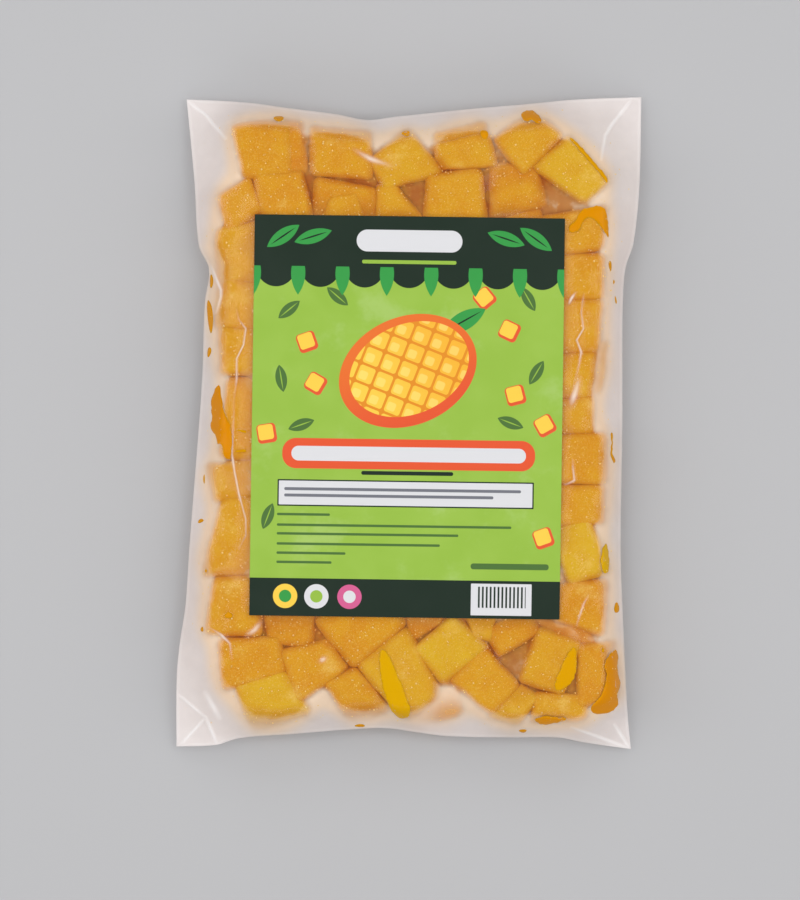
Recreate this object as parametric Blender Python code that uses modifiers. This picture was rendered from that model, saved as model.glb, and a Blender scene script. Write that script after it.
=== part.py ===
"""Flat sealed pouch of frozen mango chunks with a stuck-on label, lying on its back, label up.

Metres, +Z up. The head of the pouch points to +Y. The origin is on the surface that it lies on,
under the middle of its outline. The pouch is one closed solid, out to the outside of its film:
film sealed to film round the rim, and a filled middle that stands up between soft shoulders.
"""

import math

import bmesh
import bpy

MM = 0.001

# Pouch, across the film from corner to corner
POUCH_WIDTH = 204 * MM
POUCH_LENGTH = 286 * MM

# How far each edge is drawn in by the fill: (place along the edge, inset), both in mm.
# Sides run from foot (-Y) to head (+Y), ends from left (-X) to right (+X).
LEFT_INSET = ((-143, 0.0), (-112, 0.3), (-98, 1.5), (-80, 4.2), (-54, 5.9), (-3, 9.9),
              (23, 11.6), (53, 12.6), (68, 14.4), (78, 10.0), (106, 8.1), (143, 4.5))
RIGHT_INSET = ((-143, 4.6), (-129, 6.0), (-96, 7.7), (-57, 9.2), (0, 8.5), (45, 8.5),
               (61, 7.9), (69, 6.8), (79, 3.6), (103, 1.1), (143, 0.0))
HEAD_INSET = ((-102, 1.0), (-73, 2.7), (-55, 5.2), (-34, 7.8), (-21, 10.2), (-8, 8.8),
              (17, 6.2), (45, 3.7), (73, 1.3), (102, 0.0))
FOOT_INSET = ((-102, 1.1), (-84, 2.0), (-74, 4.9), (-49, 6.9), (-24, 8.8), (-8, 9.4),
              (8, 7.2), (20, 5.9), (48, 5.3), (70, 5.2), (80, 3.2), (102, 0.0))

# Seals: film on film, carried at half the fill's height along the edges and drooping at the corners
SEAL_THICKNESS = 0.8 * MM
SEAL_HEIGHT = 9 * MM
CORNER_HEIGHT = 2.4 * MM
CORNER_DROOP_POWER = 6
SIDE_SEAL = 2.5 * MM
END_SEAL = 3.5 * MM
RIM_WAVE = 0.7 * MM
RIM_WAVES = 5

# Filled middle
FILL_HEIGHT = 28.5 * MM
CROWN = 2 * MM
FRONT_SHOULDER = 11 * MM
BACK_SHOULDER = 9 * MM
SHOULDER_POWER = 0.7  # 0.5 is a quarter ellipse; higher leaves the seals less steeply
# Rounding of the filled middle at each corner, by the signs of (x, y)
CORNER_ROUNDING = {(-1, 1): 20 * MM, (1, 1): 30 * MM, (-1, -1): 36 * MM, (1, -1): 24 * MM}

# Chunks show through the film as low lumps, one to each chunk, flatter under the label
CHUNK_PITCH = 27 * MM
LUMP_HEIGHT = 1.1 * MM
LUMP_UNDER_LABEL = 0.35
ROW_WANDER = 6 * MM
ROW_WANDER_LENGTH = 81 * MM  # along a row, from one bend to its match
COLUMN_WANDER_LENGTH = 70 * MM
LABEL_BORDER = 8 * MM

# Label
LABEL_WIDTH = 135 * MM
LABEL_LENGTH = 174.5 * MM
LABEL_CENTRE = (-0.8 * MM, 2.6 * MM)
LABEL_TURN = math.radians(-0.8)
LABEL_THICKNESS = 0.35 * MM
LABEL_GAP = 0.4 * MM

# Fineness of the faceted solids
POUCH_COLUMNS, POUCH_ROWS = 40, 52
LABEL_COLUMNS, LABEL_ROWS = 16, 22
EDGE_CROWDING = 0.7  # share of the grid's columns and rows that is drawn towards the edges
OUTLINE_STEPS = 8  # rounds of substitution that find a place in the outline


def curve_through(points, place):
    """Height of a smooth curve through (place, height) pairs, at a place along it."""
    if place <= points[0][0]:
        return points[0][1]
    for i in range(len(points) - 1):
        start, end = points[i], points[i + 1]
        if place <= end[0]:
            break
    else:
        return points[-1][1]
    before, after = points[max(i - 1, 0)], points[min(i + 2, len(points) - 1)]
    span = end[0] - start[0]
    t = (place - start[0]) / span
    slope_start = (end[1] - before[1]) / (end[0] - before[0]) * span
    slope_end = (after[1] - start[1]) / (after[0] - start[0]) * span
    return (
        (2 * t**3 - 3 * t**2 + 1) * start[1]
        + (t**3 - 2 * t**2 + t) * slope_start
        + (3 * t**2 - 2 * t**3) * end[1]
        + (t**3 - t**2) * slope_end
    )


def smooth_step(value):
    value = min(max(value, 0), 1)
    return value * value * (3 - 2 * value)


def edges_at(u, v):
    """(left, right, foot, head) edges of the outline in metres, level with a place in the pouch."""
    across, along = u * POUCH_WIDTH / 2 / MM, v * POUCH_LENGTH / 2 / MM
    return (
        -POUCH_WIDTH / 2 + curve_through(LEFT_INSET, along) * MM,
        POUCH_WIDTH / 2 - curve_through(RIGHT_INSET, along) * MM,
        -POUCH_LENGTH / 2 + curve_through(FOOT_INSET, across) * MM,
        POUCH_LENGTH / 2 - curve_through(HEAD_INSET, across) * MM,
    )


def outline_point(u, v):
    """Where (u, v) lies, when both run from -1 to 1 over the pouch, from edge to edge."""
    left, right, foot, head = edges_at(u, v)
    return left + (right - left) * (u + 1) / 2, foot + (head - foot) * (v + 1) / 2


def place_in_outline(x, y):
    """The (u, v) of a point, found by repeated substitution, as the edges are nearly straight."""
    u, v = 2 * x / POUCH_WIDTH, 2 * y / POUCH_LENGTH
    for _ in range(OUTLINE_STEPS):
        left, right, foot, head = edges_at(u, v)
        u, v = 2 * (x - left) / (right - left) - 1, 2 * (y - foot) / (head - foot) - 1
    return u, v


def fill_share(u, v, shoulder):
    """0 on the seals, rising over a round shoulder to 1 over the filled middle."""
    rounding = CORNER_ROUNDING[1 if u > 0 else -1, 1 if v > 0 else -1]
    past_x = abs(u) * POUCH_WIDTH / 2 - (POUCH_WIDTH / 2 - SIDE_SEAL - rounding)
    past_y = abs(v) * POUCH_LENGTH / 2 - (POUCH_LENGTH / 2 - END_SEAL - rounding)
    outside = math.hypot(max(past_x, 0), max(past_y, 0)) + min(max(past_x, past_y), 0) - rounding
    inward = min(max(-outside / shoulder, 0), 1)
    return (1 - (1 - inward) ** 2) ** SHOULDER_POWER


def seal_height(u, v):
    """Height of the seals' mid-plane, with a slight wave along the rim."""
    droop = abs(u * v) ** CORNER_DROOP_POWER
    wave = RIM_WAVE * math.sin(RIM_WAVES * math.pi * (u + v)) * (1 - droop)
    return SEAL_HEIGHT + (CORNER_HEIGHT - SEAL_HEIGHT) * droop + wave


def label_share(x, y):
    """1 under the label, fading to 0 past its border."""
    across = abs(x - LABEL_CENTRE[0]) - LABEL_WIDTH / 2
    along = abs(y - LABEL_CENTRE[1]) - LABEL_LENGTH / 2
    return smooth_step(1 - max(across, along) / LABEL_BORDER)


def lump(x, y):
    """Low lumps over rows of chunks that wander a little."""
    turn = 2 * math.pi / CHUNK_PITCH
    shifted_x = x + ROW_WANDER * math.sin(2 * math.pi * y / COLUMN_WANDER_LENGTH)
    shifted_y = y + ROW_WANDER * math.sin(2 * math.pi * x / ROW_WANDER_LENGTH)
    height = LUMP_HEIGHT * (math.cos(turn * shifted_x) + math.cos(turn * shifted_y)) / 2
    return height * (1 + (LUMP_UNDER_LABEL - 1) * label_share(x, y))


def front_height(u, v):
    """Height of the front film."""
    x, y = outline_point(u, v)
    full = FILL_HEIGHT + CROWN * (1 - u * u) * (1 - v * v) + lump(x, y)
    seal = seal_height(u, v) + SEAL_THICKNESS / 2
    return seal + (full - seal) * fill_share(u, v, FRONT_SHOULDER)


def back_height(u, v):
    """Height of the back film, which lies flat under the filled middle."""
    return (seal_height(u, v) - SEAL_THICKNESS / 2) * (1 - fill_share(u, v, BACK_SHOULDER))


def crowded(t):
    """Draws grid lines towards the edges, where the shoulders bend."""
    return (1 - EDGE_CROWDING) * t + EDGE_CROWDING * math.sin(math.pi * t / 2)


def material(name, colour, roughness):
    """A plain Principled material."""
    made = bpy.data.materials.new(name)
    made.use_nodes = True
    shader = made.node_tree.nodes["Principled BSDF"]
    shader.inputs["Base Color"].default_value = (*colour, 1)
    shader.inputs["Roughness"].default_value = roughness
    shader.inputs["Metallic"].default_value = 0
    made.diffuse_color = (*colour, 1)
    return made


def add_object(name, mesh_maker, finish, collection):
    """Turns a bmesh into a smooth-shaded object of one material."""
    mesh = bpy.data.meshes.new(name)
    mesh_maker.to_mesh(mesh)
    mesh_maker.free()
    mesh.materials.append(finish)
    mesh.shade_smooth()
    made = bpy.data.objects.new(name, mesh)
    collection.objects.link(made)
    return made


def make_pouch(collection):
    """A slab of two grids, whose upper side becomes the front film and lower side the back film."""
    bm = bmesh.new()
    bmesh.ops.create_grid(bm, x_segments=POUCH_COLUMNS, y_segments=POUCH_ROWS, size=1)
    lower = set(bm.verts)
    bmesh.ops.extrude_face_region(bm, geom=bm.faces[:])
    for vert in bm.verts:
        u, v = crowded(vert.co.x), crowded(vert.co.y)
        height = back_height(u, v) if vert in lower else front_height(u, v)
        vert.co = (*outline_point(u, v), height)
    bmesh.ops.recalc_face_normals(bm, faces=bm.faces[:])
    finish = material("pouch_film_over_mango", (0.75, 0.38, 0.08), 0.3)
    return add_object("pouch", bm, finish, collection)


def make_label(collection):
    """A thin sheet that follows the front film a gap above it."""
    bm = bmesh.new()
    bmesh.ops.create_grid(bm, x_segments=LABEL_COLUMNS, y_segments=LABEL_ROWS, size=0.5)
    cos_turn, sin_turn = math.cos(LABEL_TURN), math.sin(LABEL_TURN)
    for vert in bm.verts:
        across, along = vert.co.x * LABEL_WIDTH, vert.co.y * LABEL_LENGTH
        x = LABEL_CENTRE[0] + across * cos_turn - along * sin_turn
        y = LABEL_CENTRE[1] + across * sin_turn + along * cos_turn
        vert.co = (x, y, front_height(*place_in_outline(x, y)) + LABEL_GAP)
    finish = material("label_print", (0.33, 0.56, 0.1), 0.3)
    made = add_object("label", bm, finish, collection)
    thickness = made.modifiers.new("thickness", "SOLIDIFY")
    thickness.thickness = LABEL_THICKNESS
    thickness.offset = 1
    return made


def main():
    for old in list(bpy.data.objects):
        bpy.data.objects.remove(old, do_unlink=True)
    collection = bpy.data.collections.new("mango_pouch")
    bpy.context.scene.collection.children.link(collection)
    make_pouch(collection)
    make_label(collection)


main()
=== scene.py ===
"""The looks of a sealed pouch of frozen mango chunks that lies on its back, label up.

Milky film is drawn over cut chunks, with juice smeared on it and beads of frost under it, and a
printed label is stuck on its front. Metres, +Z up, head of the pouch towards +Y.
"""

import math
import random

import bmesh
import bpy
import numpy as np
from mathutils import Euler, Matrix, Vector
from mathutils.bvhtree import BVHTree


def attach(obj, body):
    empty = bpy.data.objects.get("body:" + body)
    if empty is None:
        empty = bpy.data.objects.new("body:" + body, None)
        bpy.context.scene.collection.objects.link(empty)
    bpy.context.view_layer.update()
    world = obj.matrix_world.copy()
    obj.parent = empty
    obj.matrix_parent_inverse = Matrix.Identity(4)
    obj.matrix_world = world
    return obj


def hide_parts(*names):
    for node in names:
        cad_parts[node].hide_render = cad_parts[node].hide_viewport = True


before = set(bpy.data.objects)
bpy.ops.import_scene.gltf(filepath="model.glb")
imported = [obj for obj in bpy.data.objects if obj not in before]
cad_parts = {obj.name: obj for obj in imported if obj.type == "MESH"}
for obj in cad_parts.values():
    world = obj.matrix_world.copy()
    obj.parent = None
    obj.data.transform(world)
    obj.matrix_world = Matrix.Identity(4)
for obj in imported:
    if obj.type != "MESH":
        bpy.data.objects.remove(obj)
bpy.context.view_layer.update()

MM = 0.001


# --- Sizes -------------------------------------------------------------------------------------

POUCH_WIDTH = 204 * MM
POUCH_LENGTH = 286 * MM

# How far the fill draws in each edge: (place along the edge, inset), both in mm.
LEFT_INSET = ((-143, 0.0), (-112, 0.3), (-98, 1.5), (-80, 4.2), (-54, 5.9), (-3, 9.9),
              (23, 11.6), (53, 12.6), (68, 14.4), (78, 10.0), (106, 8.1), (143, 4.5))
RIGHT_INSET = ((-143, 4.6), (-129, 6.0), (-96, 7.7), (-57, 9.2), (0, 8.5), (45, 8.5),
               (61, 7.9), (69, 6.8), (79, 3.6), (103, 1.1), (143, 0.0))
HEAD_INSET = ((-102, 1.0), (-73, 2.7), (-55, 5.2), (-34, 7.8), (-21, 10.2), (-8, 8.8),
              (17, 6.2), (45, 3.7), (73, 1.3), (102, 0.0))
FOOT_INSET = ((-102, 1.1), (-84, 2.0), (-74, 4.9), (-49, 6.9), (-24, 8.8), (-8, 9.4),
              (8, 7.2), (20, 5.9), (48, 5.3), (70, 5.2), (80, 3.2), (102, 0.0))
OUTLINE_STEPS = 8

SEAL_HEIGHT = 9 * MM
CORNER_HEIGHT = 2.4 * MM
CORNER_DROOP_POWER = 6
RIM_WAVE = 0.7 * MM
RIM_WAVES = 5
RIM_THICKNESS = 0.3 * MM
SEAL_WIDTH = 1.1 * MM

LABEL_WIDTH = 135 * MM
LABEL_LENGTH = 174.5 * MM
LABEL_CENTRE = Vector((-0.8 * MM, 2.6 * MM, 0))
LABEL_TURN = math.radians(-0.8)
LABEL_THICKNESS = 0.25 * MM
LABEL_BACKING = 0.05 * MM  # between the film and the label
LABEL_COLUMNS, LABEL_ROWS = 90, 116
LABEL_SMOOTHING = 40
LABEL_READ_INSET = 0.985  # share of its size at which heights are read, so that no line misses its solid
PRINT_SOFTNESS = 0.12  # mm over which the edge of a printed shape fades
ENDLESS = 2000  # mm, a pitch longer than the label, with which nothing repeats

# A line along which rays are cast starts this far above or below the pouch
CLEAR_OF_ALL = 0.1
UP, DOWN = Vector((0, 0, 1)), Vector((0, 0, -1))
HIGHEST, LOWEST = 1.0, -1.0
RIPPLE_WAVES = 9

# Film: heights are worked out on a fine raster, and the mesh reads them from it
RASTER_COLUMNS, RASTER_ROWS = 240, 340
FILM_COLUMNS, FILM_ROWS = 118, 168
FINE_UNDER_LABEL = 3 * MM  # how far under the label's edge the film's mesh is still fine
CREASE_SHARE = 0.02  # least share of a crease for which the mesh is finer still
FILM_CLEARANCE = 0.2 * MM
FILM_FLOOR = 0.05 * MM
DRAPE_ROUNDS = 2600
FRONT_PULL = 0.006 * MM
CLINGING = 0.3 * MM  # closer than this the film clings to the fruit
LIFT_SCALE = 2.2 * MM
LIFT_SOFTENING = 3
SEAM_LIFT = 0.4  # most that a seam between chunks hazes what is beside it
OPENNESS_ROUNDS = (36, 120)  # of evening out the lift, near and wide; the lower result counts
# Past this far in from the rim, and over this reach, gaps count as less open by this share
INSIDE_START = 22 * MM
INSIDE_REACH = 14 * MM
INSIDE_CLOSING = 0.5
# Wrinkles: height in mm, wavelength in mm and seed. They grow where the film stands off the fruit.
WRINKLES = ((0.16, 9, 5), (0.07, 4, 6))
WRINKLE_REACH = 2 * MM
RIM_FADE = 0.03  # share of the half width over which wrinkles fade out at the rim
CREASE_RIM_FADE = 0.02

# Chunks
CHUNK_TOP = 28.3 * MM
CHUNK_CROWN = 2.0 * MM
SHOULDER_PROUD = 0.5 * MM
CHUNK_BASE = 0.35 * MM
FRONT_INSET = 3 * MM
BASE_INSET = 9 * MM
CHUNK_CUTS = 16
HIDDEN_CHUNK_CUTS = 9
CHUNK_ROUNDING = 0.27
CHUNK_GROWTH = 2.0  # mm by which the knife-cut faces reach past the given corners
CHUNK_EDGE_CROWDING = 0.75  # share of a chunk's grid that is drawn towards its edges
# Knife cuts: how many faces meet where each one goes, and its least distance from the middle. Each
# leans by up to the tilt, and lies up to the spread further out.
KNIFE_CUTS = ((3, 1.4), (3, 1.5), (2, 1.24))
KNIFE_TILT = 0.3
KNIFE_SPREAD = 0.3
# The back face of a chunk: its size beside the front one, its drift in mm, and how uneven its height
# is in mm
BACK_SHRINK = (0.92, 1.0)
BACK_DRIFT = 1
BACK_UNEVENNESS = 0.4
GRAIN_TILT, GRAIN_TURN = 0.5, 3  # most turn of a chunk's fibres, in radians
# Swelling of a chunk's faces, in mm: heights of the coarse and fine ripples and a shrink, and the
# ripples' wavelengths
SWELL_COARSE, SWELL_FINE, SWELL_SHRINK = 0.22, 0.08, 0.2
SWELL_WAVELENGTHS = (13, 3.4)
SHOWN_CHUNK_SEED, HIDDEN_CHUNK_SEED, HIDDEN_ROWS_SEED = 100, 300, 7

# Each chunk: corners of its front face in mm (head left, head right, foot right, foot left), depth
# in mm of that face below the film (one for all, or one a corner), ripeness from 0, orange, to 1,
# yellow, and, where its back face slides from under the front one, how far in mm.
CHUNKS_ROUND_LABEL = (
    # along the head
    (((-77, 129), (-54, 133), (-52, 109), (-72, 108)), 0, 0.2, (8, -2)),
    # This strip stands for the side face of the chunk before it. Its ripeness of 0.0, deeper orange than
    # that chunk's, is painted shade.
    (((-58, 132), (-46.5, 130), (-45, 111), (-57, 109)), (0.8, 1.6, 1.6, 0.8), 0.0),
    (((-42, 129), (-18, 127), (-17, 107), (-41, 109)), 0, 0.2, (0, 1)),
    (((-1, 128), (14, 109), (-10, 103), (-16, 114)), (1, 0, 0, 1), 0.5),
    (((13, 121), (33.5, 126), (37, 112), (14, 111)), 0, 0.35),
    (((53, 135), (66, 125), (50, 109), (38, 124)), (0.5, 0, 0, 0), 0.35),
    (((70, 124), (86, 106), (76, 96), (55, 111)), 0, 0.75, (0, 1)),
    (((-82, 98), (-70, 106), (-65, 92), (-79, 84)), (2, 0, 0, 2), 0.15, (1, 0)),
    (((-67, 108), (-48, 110), (-43, 90), (-63, 87)), 0, 0.15),
    (((-40, 106), (-15, 101), (-15, 78), (-41, 80)), (0.3, 0.3, 4, 4), 0.2),
    (((-33, 97), (-24, 99), (-20, 88), (-38, 87)), (0.5, 0.5, 0, 0), 0.3),
    (((-13, 102), (-6, 102), (8, 86), (-14, 82)), 0.3, 0.35),
    (((9, 107), (31, 110), (33, 84), (7, 82)), 0, 0.25),
    (((36, 112), (54, 111), (59, 95), (37, 90)), (2.6, 2.6, 1.6, 1.2), 0.2),
    (((42, 88), (57, 92), (57, 70), (42, 70)), 0.8, 0.1),
    # down the right
    (((58, 89), (85, 94), (83, 76), (58, 73)), 0, 0.2),
    (((60, 72), (84, 73), (83, 55), (60, 54)), (0, 0.5, 0.5, 0), 0.2),
    (((59, 53), (83, 53), (81, 32), (59, 31)), (0, 1, 1, 0), 0.25),
    (((57, 29), (80, 30), (78, 12), (58, 11)), 0.4, 0.4),
    (((81, 33), (87, 34), (84, 16), (79, 12)), 6, 0.4),
    (((58, 9), (79, 11), (79, -4), (58, -4)), 0.5, 0.3),
    (((58, -6), (85, -5), (85, -26), (60, -25)), 0, 0.2),
    (((61, -28), (84, -28), (84, -43), (62, -45)), (0, 0.5, 0.5, 0), 0.25),
    (((60, -48), (78, -42), (87, -64), (70, -69)), (0, 0.5, 0, 0), 0.92),
    (((60, -71), (86, -69), (84, -92), (65, -85)), (0, 0.8, 0.5, 0), 0.1),
    (((74, -98), (93, -96), (95, -119), (74, -123)), (0.3, 0.3, 0.5, 0.3), 0.08),
    # along the foot
    (((57, -90), (74, -97), (67, -117), (49, -112)), 0, 0.4, (-1, 1)),
    (((19, -112), (33, -99), (47, -114), (36, -126)), 0, 0.3),
    (((3, -98), (19, -84), (33, -98), (15, -112)), 0, 0.9, (3, -3)),
    (((-22, -106), (-1, -90), (12, -117), (-2, -129)), 0, 0.6, (3, 1)),
    (((-40, -86), (-21, -66), (-2, -87), (-24, -106)), 0, 0.15),
    (((-36, -114), (-23, -108), (-9, -124), (-24, -132)), (0, 0, 3, 4), 0.25),
    (((-55, -100), (-36, -96), (-28, -107), (-48, -121)), 0, 0.15),
    (((-82, -95), (-58, -94), (-55, -108), (-80, -116)), 0, 0.15, (1, 0)),
    (((-75, -115), (-55, -109), (-44, -126), (-67, -136)), (0, 0, 1, 2), 0.85, (1, 1)),
    (((-84, -69), (-66, -68), (-65, -92), (-88, -91)), (0.5, 0, 0, 1), 0.25),
    (((-63, -76), (-42, -76), (-43, -97), (-60, -94)), 1.2, 0.15),
    (((-1, -72), (16, -72), (13, -86), (1, -94)), 1.6, 0.1),
    (((24, -80), (38, -80), (35, -93), (29, -92)), 0.8, 0.85),
    (((35, -90), (50, -80), (56, -91), (40, -101)), 1.0, 0.15),
    (((36, -127), (48, -115), (55, -120), (47, -131)), 1.5, 0.7),
    (((56, -118), (78, -119), (75, -129), (55, -131)), (1, 1, 2, 2), 0.35),
    (((1, -123), (20, -116), (22, -127), (2, -134)), 6.5, 0.05),
    # up the left
    (((-82, 84), (-58, 88), (-58, 61), (-86, 63)), (2, 0, 0, 2), 0.4),
    (((-82, 62), (-57, 60), (-58, 41), (-85, 42)), (1.5, 0, 0, 2), 0.3),
    (((-82, 41), (-58, 40), (-57, 21), (-81, 22)), (1, 0, 0, 1), 0.35),
    (((-79, 18), (-56, 19), (-57, -15), (-82, -14)), (1, 0, 0, 1), 0.08),
    (((-88, -18), (-58, -16), (-58, -30), (-83, -34)), (5, 0, 0, 3), 0.4),
    (((-81, -35), (-58, -32), (-58, -64), (-90, -66)), (0.5, 0, 0, 3), 0.35),
    # low ones that look out between the others
    (((13, 126.5), (31.5, 131), (33, 123), (13, 118.5)), (2.6, 2.6, 1.6, 1.6), 0.35),
    (((58, -86), (76, -90), (80, -96), (60, -96)), 3, 0.1),
)

# The chunks that the label hides lie in rows: left, right, head and foot ends of them, in mm.
HIDDEN_SPAN = (-55, 56, 76, -64)
HIDDEN_COLUMNS, HIDDEN_ROWS = 4, 5
HIDDEN_DEPTH = 0.6
HIDDEN_GAP = 1.0
HIDDEN_UNEVENNESS = (-1.5, 0.8)  # mm by which each corner lies in or out
HIDDEN_RIPENESS = (0.1, 0.2, 0.3, 0.5, 0.85)

# Creases in the front film: points in mm, height and half width of the ridge in mm. Along a crease
# the ridge swells and fades like half a wave, of which this much is left out before and after it.
CREASE_LEFT_OUT = 0.1
# The film's material whitens the creases: partly stress whitening, partly a painted highlight. The short,
# wide ones stand for glossy patches, where the whitening is only a painted highlight.
CREASES = (
    (((-98, 142), (-89, 135), (-86, 131), (-80, 124)), 0.7, 0.6),
    (((97, 141), (89, 131), (86, 126), (84, 115)), 0.7, 0.6),
    (((-24, 119), (-17, 115), (-8, 112)), 0.3, 1.3),
    (((-87, 69), (-85, 65), (-82, 58), (-82, 55), (-84, 48)), 0.7, 0.6),
    (((-75, 50), (-74, 45), (-71, 41), (-72, 34), (-75, 28), (-75, 19), (-76, 10)), 0.5, 0.55),
    (((-76, 10), (-77, -14), (-76, -21), (-74, -31), (-71, -42), (-71, -49), (-74, -55)), 0.45, 0.5),
    (((-100, -141), (-89, -129)), 0.8, 0.6),
    (((-89, -129), (-84, -141)), 0.7, 0.6),
    (((-101, -119), (-95, -124), (-89, -129)), 0.5, 0.5),
    (((-89, -118), (-83, -129)), 0.5, 1.0),
    (((-87, -89), (-82, -92), (-78, -96), (-77, -103)), 0.5, 0.5),
    (((-70, -92), (-67, -90), (-65, -87)), 0.4, 1.2),
    (((-39, -104), (-36, -102)), 0.3, 1.3),
    (((69.6, 51.5), (70.6, 54), (72.6, 57)), 0.45, 0.7),
    (((76, 56), (75, 48), (76, 41), (73, 36), (75, 31), (74, 25), (72, 17)), 0.5, 0.55),
    (((74, 20), (72.6, 14), (70.4, 7)), 0.7, 1.5),
    (((71, -16), (72, -25), (68, -27)), 0.5, 0.55),
    (((78, -75), (76, -79), (73, -88)), 0.5, 0.55),
    (((71, -133), (84, -138), (97, -143)), 0.6, 0.6),
    (((90, -132), (97, -143)), 0.6, 0.6),
)

# Juice smeared on the film: outlines in mm, and ripeness of the chunk it came from
JUICE_SMEARS = (
    (((73, 89), (75, 92.5), (78, 93.5), (82, 94.5), (85.5, 92.7), (86.5, 88), (87, 81), (85.5, 82.5),
      (83, 86), (80, 89), (77.5, 89.5), (75.5, 87), (74, 84), (71.5, 83), (69.5, 84.5)), 0.1),
    (((-83, 16.5), (-85, 14), (-86.5, 9), (-86, 3), (-86.5, -2), (-84.5, -5), (-83.5, -9),
      (-81.5, -9.5), (-80.5, -14), (-78, -15.5), (-77, -7), (-78, -1), (-80.5, 5), (-82, 13)), 0.0),
    (((90, -99), (91.5, -102), (91, -108), (92.5, -114), (91, -119), (91.5, -123), (87.5, -126.5),
      (80.5, -126.5), (79.5, -123.5), (84, -118), (86, -110), (85, -105.5), (87.5, -101)), 0.05),
    (((72.3, -98), (73, -105.5), (71, -112.5), (65.5, -116.5), (63.5, -114), (66, -107),
      (69.5, -100)), 0.6),
    (((-12.5, -100), (-10, -99.5), (-5, -109.5), (0.2, -123.5), (0.3, -127), (-2.3, -129), (-6.3, -127),
      (-10, -119.5), (-12.5, -108.5)), 0.85),
    (((70.2, 123.5), (72.3, 123), (80, 114.5), (86, 107), (86, 104.5), (83.5, 108), (76.4, 116.4)), 0.45),
    (((55, -129), (60, -127.7), (64, -128.3), (67.5, -128.4), (68, -129.7), (62.5, -131.2),
      (57.5, -131.6)), 0.1),
    (((84, -56), (86, -52.5), (87.2, -58), (87.2, -64), (85.2, -65.5), (83.6, -62)), 1.0),
    (((49, 134), (50.5, 136.3), (54, 136.5), (57, 133.8), (57.5, 131), (55.8, 130.5), (54, 132),
      (51, 131.6)), 0.1),
    (((88.2, -4.4), (89, -4.8), (89, -10), (88.8, -12.7), (90.2, -16), (89.3, -17.6), (88, -14),
      (88.3, -9)), 0.15),
)
# Drops: place, half width and half length in mm, and turn in degrees
JUICE_DROPS = (
    (-56.8, 132.8, 2.2, 1.3, 0), (-1.3, 126.2, 1.8, 1.2, 0), (32.8, 125.6, 1.7, 2.1, 20),
    (87.8, 68.6, 0.7, 2.2, 5), (89.5, 61.6, 0.4, 0.9, 0), (90.4, 53.7, 0.4, 1.7, 10),
    (-86.4, 62.0, 0.8, 3.0, 0), (-86.9, 46.7, 1.3, 7.2, 5), (-87.3, 31.0, 0.9, 2.2, -10),
    (-89.5, -24.5, 0.4, 2.0, 0), (-91.0, -42.8, 1.4, 0.8, 25), (-78.6, -83.8, 1.7, 1.3, 0),
    (49.8, -134.6, 1.7, 0.8, 0), (-21.4, -132.4, 2.2, 0.7, 0), (90.8, -80.8, 1.2, 2.3, 0),
    (-90.2, -90.0, 0.7, 1.1, 0), (84.5, -99.0, 0.5, 0.9, 0), (-88.5, -64.5, 0.5, 0.7, 0),
    (-72.6, -3.6, 0.5, 2.2, 75), (-73.0, -12.2, 0.6, 2.4, 95),
)
JUICE_CLEARANCE = 0.02 * MM
JUICE_RIM = 0.03 * MM
JUICE_DEPTH = 0.09 * MM
JUICE_ROUNDING = 0.7 * MM
JUICE_RAGGEDNESS = 0.16 * MM
JUICE_RIM_WAVELENGTH = 2.2 * MM
JUICE_RIM_SEEDS = (21, 22)
JUICE_RIM_POINTS = 64
DROP_RIM_POINTS = 20
JUICE_CELL = 1.3 * MM
POOL_SPLITS = 4
DROP_RIPENESS = 0.2
DROP_LOBES = 3
DROP_SWELL = 0.08
CURVE_STEPS = 12  # from one given point of a smear's outline to the next

BEAD_COUNT = 4200
BEAD_RADII = (0.1 * MM, 0.5 * MM)
BEAD_RARITY = 5  # the higher, the fewer large ones
BEAD_FLATNESS = 0.6
BEAD_SINKING = 0.55  # of its radius, by which a bead's middle lies under the film
BEAD_SPREAD = 0.97  # of the way to the rim
BEADS_IN_OPEN = 0.05
BEADS_ON_FRUIT = 0.45
CLOSE_TO_FRUIT = 0.25  # lift up to which the film counts as lying on the fruit
BEAD_SEED = 3

CAMERA_PLACE = Vector((-3.9 * MM, -11.8 * MM, 3293 * MM))
CAMERA_LENS = 300
SENSOR = 36
FLOOR_REACH = 4
# Softboxes face the middle of the pouch: name, place, size, power in watts
SOFTBOXES = (
    ("left_softbox", (-0.85, 0.1, 0.9), (0.5, 1.3), 4.8),
    ("right_softbox", (0.85, 0.05, 0.9), (0.5, 1.3), 4.2),
    ("head_softbox", (0.05, 1.1, 0.9), (1.3, 0.5), 3.0),
    ("foot_softbox", (0, -1.1, 0.9), (1.3, 0.5), 3.2),
)
AIR_STRENGTH = 0.62


# --- Colours, as 0 to 255 screen values -----------------------------------------------------------

def screen(red, green, blue):
    """Linear colour of a screen colour."""
    values = (value / 255 for value in (red, green, blue))
    return (*(v / 12.92 if v < 0.04045 else ((v + 0.055) / 1.055) ** 2.4 for v in values), 1)


FLESH_ORANGE = screen(208, 141, 12)
FLESH_DEEP = screen(203, 127, 8)
FLESH_YELLOW = screen(211, 169, 28)
FLESH_RIPE = screen(207, 157, 18)
FLESH_FROST = screen(228, 192, 100)
JUICE_ORANGE = screen(212, 133, 0)
JUICE_YELLOW = screen(212, 164, 0)
BEAD_WARM = screen(236, 190, 96)
BEAD_PALE = screen(240, 214, 150)
# Haze tints: the dark ones over narrow gaps between chunks are painted shade, and the warm ones are painted
# light from the fruit under the film. Only the cold one is the film's own milky white.
HAZE_GAP_SHADE_DEEP = screen(204, 108, 30)
HAZE_GAP_SHADE_WARM = screen(220, 144, 54)
HAZE_FRUIT_LIGHT_NEAR = screen(226, 164, 96)
HAZE_FRUIT_LIGHT_WIDE = screen(254, 231, 204)
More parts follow.
